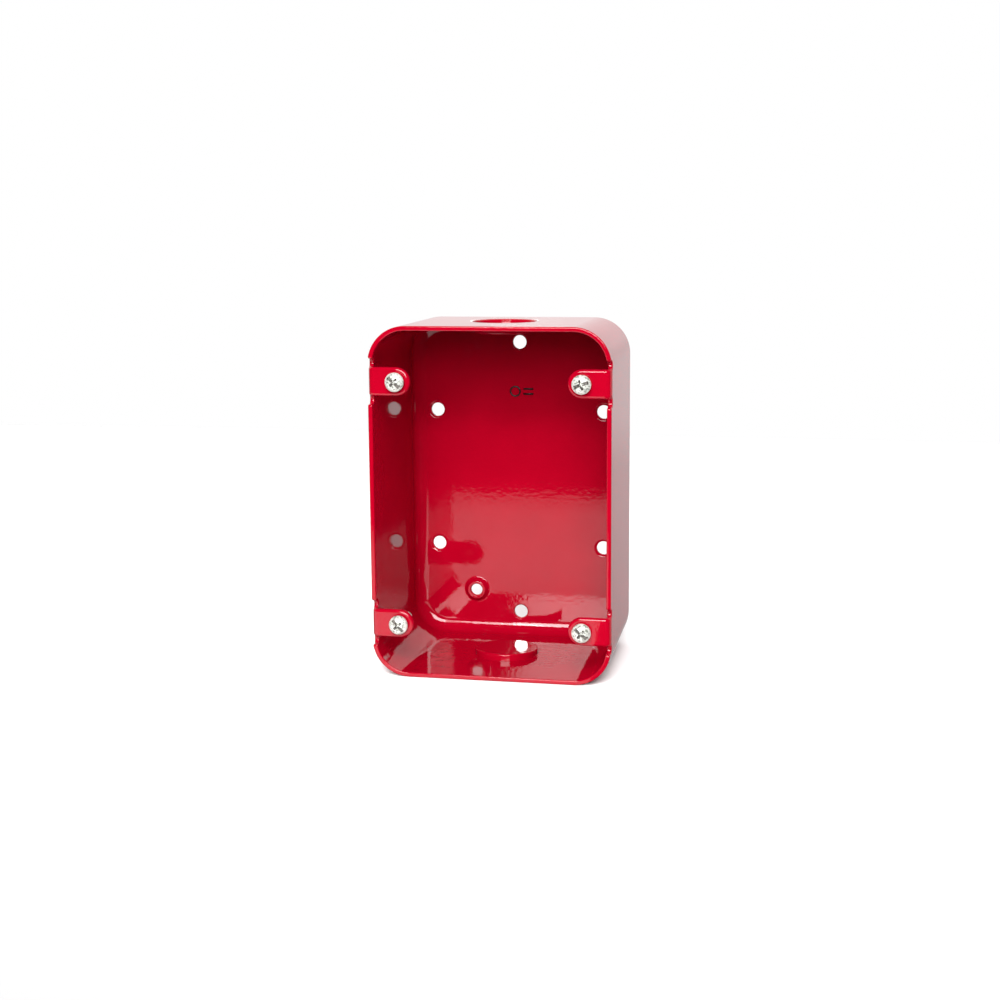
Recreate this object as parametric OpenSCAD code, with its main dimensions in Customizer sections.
// Surface-mount back box for a wall appliance: one drawn steel box, four cover screws, two knockouts.
// Origin: centre of the rear mounting face. +Y points into the wall, +Z is up, the mouth faces -Y.

/* [Box] */
// Width of the box across its outer side walls
box_w = 82.55; // [78:0.05:95]
// Height of the box across its outer top and bottom walls
box_h = 120.65; // [118:0.05:140]
// Depth from the rear face to the rim
box_d = 60.3; // [48:0.1:80]
// Thickness of the steel sheet with its paint
sheet_t = 1.6; // [1.2:0.1:2]
// Outer radius of the four corners, seen from the front
corner_r = 12.9; // [11:0.1:16]
// Outer radius of the drawn edge between the walls and the back plate
back_edge_r = 7.2; // [3:0.1:9]

/* [Tabs] */
// Distance between the left and right cover screws
cover_pitch_x = 63; // [58:0.1:66]
// Distance between the upper and lower cover screws
cover_pitch_z = 83.3; // [76:0.1:84]
// Width of a tab, which is also the diameter of its round end
tab_w = 9.7; // [8:0.1:11]
// Inside radius of the bend between a side wall and its tab
tab_bend_r = 1.6; // [1:0.1:2.5]
// Width of the relief notch on each side of a tab
relief_w = 2.9; // [2:0.1:4]
// Depth of the relief notch below the rim
relief_d = 2.8; // [2.2:0.1:4]

/* [Cover screws] */
// Outer diameter of the screw's thread
screw_d = 3.42; // [3:0.01:3.48]
// Diameter of the threaded hole in a tab
tab_hole_d = 3.54; // [3.5:0.01:3.6]
// Length of the screw under its head
screw_len = 12.7; // [8:0.1:16]
// Diameter of the screw's head
head_d = 6.5; // [6:0.1:7.5]
// Height of the screw's domed head
head_h = 2.3; // [1.8:0.1:2.8]
// Gap between the tab and the head of a screw that isn't run home
head_gap = 1.2; // [0.2:0.1:3]

/* [Rear holes] */
// Diameter of the six plain fixing holes in the back plate
fixing_hole_d = 5.1; // [4:0.1:6]
// Distance between the left and right fixing holes
fixing_pitch_x = 62.4; // [56:0.1:63]
// Distance between the upper and lower holes of the rectangle of four
fixing_pitch_z = 50.8; // [40:0.1:70]
// Distance between the top and bottom holes on the centre line
centre_pitch_z = 101.6; // [94:0.1:102]

/* [Earth point] */
// Distance of the earth point left of the centre line
earth_x = 16.7; // [12:0.1:22]
// Distance of the earth point below the centre of the box
earth_z = 42.7; // [36:0.1:44]
// Minor diameter of the threaded earth hole
earth_hole_d = 4.2; // [3:0.1:4.4]
// Diameter of the raised dimple where it leaves the back plate
dimple_d = 9; // [8:0.1:11]
// Height that the dimple stands into the box
dimple_h = 1.8; // [1:0.1:2.4]

/* [Knockouts] */
// Diameter of the knockout disc
knockout_d = 22.5; // [18:0.1:28]
// Width that the disc overlaps the edge of its opening
knockout_lap = 0.1; // [0.05:0.05:0.3]
// Gap between the disc and the inner face of the wall it was pushed out of
knockout_gap = 0.5; // [0:0.1:1]
// Width of the two ties that still hold the disc
tie_w = 3; // [2:0.1:5]

/* [Hidden] */
$fn = 64;

half_w = box_w / 2;
half_h = box_h / 2;
flat_w = box_w - 2 * corner_r;         // straight length of the top and bottom walls
flat_h = box_h - 2 * corner_r;         // straight length of the side walls
cover_x = cover_pitch_x / 2;
cover_z = cover_pitch_z / 2;
tab_outer_r = tab_bend_r + sheet_t;    // outside radius of the tab's bend
cut = 1;                               // how far a cutter runs past the surface that it opens

dimple_top_d = dimple_d - 2.4;         // flat top of the dimple, inside its sloping flank
dimple_wall = 0.8;                     // how much smaller the recess is than the dimple, across both sides

head_flank = 0.7;                      // straight side of the head below its dome
tip_chamfer = 0.6;                     // chamfer at the end of the thread
drive_w = 0.95;                        // width of the slot and of the cross
slot_depth = 0.9;
cross_len = 3.9;
cross_depth = 1.5;
turn_top_left = -42;                   // angle at which each screw's slot came to rest
turn_top_right = 20;
turn_bottom_left = -48;
turn_bottom_right = -38;

opening_d = knockout_d - 2 * knockout_lap;
tie_reach = 1.3;                       // how far a tie runs in from the edge of the opening
tie_h = 0.7 * sheet_t;

paint = [0.74, 0.03, 0.09];
zinc = [0.82, 0.83, 0.80];

// ---- Drawn box ----

// Cross-section of back plate, drawn edge and wall: X runs outwards from the corner's centre, Y is depth.
module wall_section() {
    bend_x = corner_r - back_edge_r;
    translate([0, -sheet_t]) square([bend_x, sheet_t]);
    translate([corner_r - sheet_t, -box_d]) square([sheet_t, box_d - back_edge_r]);
    translate([bend_x, -back_edge_r]) intersection() {
        difference() {
            circle(r = back_edge_r);
            circle(r = back_edge_r - sheet_t);
        }
        square(back_edge_r + cut);
    }
}

// A straight run of that section, standing on the corner centre line and facing +Z.
module straight_wall(length) {
    translate([length / 2, 0, 0]) rotate([0, -90, 0]) linear_extrude(height = length) wall_section();
}

// A quarter turn of that section, from +X to -Z.
module corner_wall() {
    rotate([-90, 0, 0]) rotate_extrude(angle = 90) wall_section();
}

module drawn_box() {
    translate([-flat_w / 2, -sheet_t, -flat_h / 2]) cube([flat_w, sheet_t, flat_h]);
    for (turn = [0, 180]) rotate([0, turn, 0]) {
        translate([0, 0, flat_h / 2]) straight_wall(flat_w);
        rotate([0, 90, 0]) translate([0, 0, flat_w / 2]) straight_wall(flat_h);
        translate([flat_w / 2, 0, -flat_h / 2]) corner_wall();
        translate([-flat_w / 2, 0, -flat_h / 2]) rotate([0, 90, 0]) corner_wall();
    }
}

// ---- Tabs ----

// Repeats its children, drawn for the upper right tab, at all four.
module at_each_tab() {
    for (side = [0, 1], end = [0, 1]) mirror([side, 0, 0]) mirror([0, 0, end]) children();
}

// What the blank loses at the rim: the wall that is folded into the tab, and a notch on each side of it.
module tab_relief() {
    notch_r = relief_w / 2;
    across = tab_outer_r + cut;
    translate([half_w - tab_outer_r, -box_d - cut, cover_z - tab_w / 2])
        cube([across, tab_outer_r + cut, tab_w]);
    for (side = [-1, 1]) translate([half_w - tab_outer_r, -box_d, cover_z + side * (tab_w + relief_w) / 2]) {
        translate([0, relief_d - notch_r, 0]) rotate([0, 90, 0]) cylinder(h = across, r = notch_r);
        translate([0, -cut, -notch_r]) cube([across, relief_d - notch_r + cut, relief_w]);
    }
}

// The tab itself: a quarter bend off the side wall and a flat ear with a round end, flush with the rim.
module tab() {
    bend_x = half_w - tab_outer_r;
    translate([bend_x, -box_d + tab_outer_r, cover_z - tab_w / 2]) intersection() {
        difference() {
            cylinder(h = tab_w, r = tab_outer_r);
            translate([0, 0, -cut]) cylinder(h = tab_w + 2 * cut, r = tab_bend_r);
        }
        translate([0, -tab_outer_r - cut, -cut]) cube([tab_outer_r + cut, tab_outer_r + cut, tab_w + 2 * cut]);
    }
    translate([cover_x, -box_d, cover_z - tab_w / 2]) cube([bend_x - cover_x, sheet_t, tab_w]);
    translate([cover_x, -box_d, cover_z]) rotate([-90, 0, 0]) cylinder(h = sheet_t, d = tab_w);
}

module tab_hole() {
    translate([cover_x, -box_d - cut, cover_z]) rotate([-90, 0, 0])
        cylinder(h = sheet_t + 2 * cut, d = tab_hole_d);
}

// ---- Holes in the back plate and the walls ----

module plate_hole(x, z, d) {
    translate([x, -sheet_t - cut, z]) rotate([-90, 0, 0]) cylinder(h = sheet_t + 2 * cut, d = d);
}

module fixing_holes() {
    for (x = [-1, 1], z = [-1, 1]) plate_hole(x * fixing_pitch_x / 2, z * fixing_pitch_z / 2, fixing_hole_d);
    for (z = [-1, 1]) plate_hole(0, z * centre_pitch_z / 2, fixing_hole_d);
}

module knockout_openings() {
    for (end = [0, 1]) mirror([0, 0, end]) translate([0, -box_d / 2, half_h - sheet_t - cut])
        cylinder(h = sheet_t + 2 * cut, d = opening_d);
}

// Places a turned profile at the earth point, with its height running into the box.
module at_earth_point() {
    translate([-earth_x, 0, -earth_z]) rotate([90, 0, 0]) rotate_extrude() children();
}

module dimple() {
    at_earth_point() polygon([[0, 0], [dimple_d / 2, 0], [dimple_d / 2, sheet_t],
                              [dimple_top_d / 2, sheet_t + dimple_h], [0, sheet_t + dimple_h]]);
}

module dimple_recess() {
    base_r = (dimple_d - dimple_wall) / 2;
    top_r = (dimple_top_d - dimple_wall) / 2;
    at_earth_point() polygon([[0, -cut], [base_r, -cut], [base_r, 0], [top_r, dimple_h], [0, dimple_h]]);
}

module earth_hole() {
    translate([-earth_x, cut, -earth_z]) rotate([90, 0, 0])
        cylinder(h = sheet_t + dimple_h + 2 * cut, d = earth_hole_d);
}

module box_shell() {
    color(paint) difference() {
        union() {
            difference() {
                drawn_box();
                at_each_tab() tab_relief();
            }
            at_each_tab() tab();
            dimple();
        }
        at_each_tab() tab_hole();
        fixing_holes();
        knockout_openings();
        dimple_recess();
        earth_hole();
    }
}

// ---- Cover screws ----

// One screw on its own axis: the thread runs down from 0 and the domed head stands up from it.
module screw_solid() {
    thread_r = screw_d / 2;
    head_r = head_d / 2;
    dome_h = head_h - head_flank;
    dome_r = (head_r * head_r + dome_h * dome_h) / (2 * dome_h);
    rotate_extrude() polygon([[0, -screw_len], [thread_r - tip_chamfer, -screw_len],
                              [thread_r, -screw_len + tip_chamfer], [thread_r, 0], [0, 0]]);
    rotate_extrude() intersection() {
        translate([0, head_h - dome_r]) circle(r = dome_r);
        square([head_r, head_h]);
    }
}

module driver_recess() {
    translate([-head_d, -drive_w / 2, head_h - slot_depth]) cube([2 * head_d, drive_w, slot_depth + cut]);
    for (turn = [0, 90]) rotate(turn) translate([-cross_len / 2, -drive_w / 2, head_h - cross_depth])
        cube([cross_len, drive_w, cross_depth + cut]);
}

module cover_screw(side, end, turn) {
    color(zinc) translate([side * cover_x, -box_d - head_gap, end * cover_z]) rotate([90, 0, 0])
        rotate(turn) difference() {
            screw_solid();
            driver_recess();
        }
}

module cover_screw_top_left() {
    cover_screw(-1, 1, turn_top_left);
}

module cover_screw_top_right() {
    cover_screw(1, 1, turn_top_right);
}

module cover_screw_bottom_left() {
    cover_screw(-1, -1, turn_bottom_left);
}

module cover_screw_bottom_right() {
    cover_screw(1, -1, turn_bottom_right);
}

// ---- Knockouts ----

// The disc stands just inside the wall, clear of it, and two ties in the opening still hold it.
module knockout_disc() {
    tie_z = knockout_gap + tie_h;
    translate([0, -box_d / 2, half_h - sheet_t - knockout_gap]) {
        translate([0, 0, -sheet_t]) cylinder(h = sheet_t, d = knockout_d);
        difference() {
            intersection() {
                cylinder(h = tie_z, d = opening_d);
                translate([-knockout_d, -tie_w / 2, 0]) cube([2 * knockout_d, tie_w, tie_z]);
            }
            translate([0, 0, -cut]) cylinder(h = tie_z + 2 * cut, d = opening_d - 2 * tie_reach);
        }
    }
}

module knockout_top() {
    color(paint) knockout_disc();
}

module knockout_bottom() {
    color(paint) mirror([0, 0, 1]) knockout_disc();
}

box_shell();
cover_screw_top_left();
cover_screw_top_right();
cover_screw_bottom_left();
cover_screw_bottom_right();
knockout_top();
knockout_bottom();
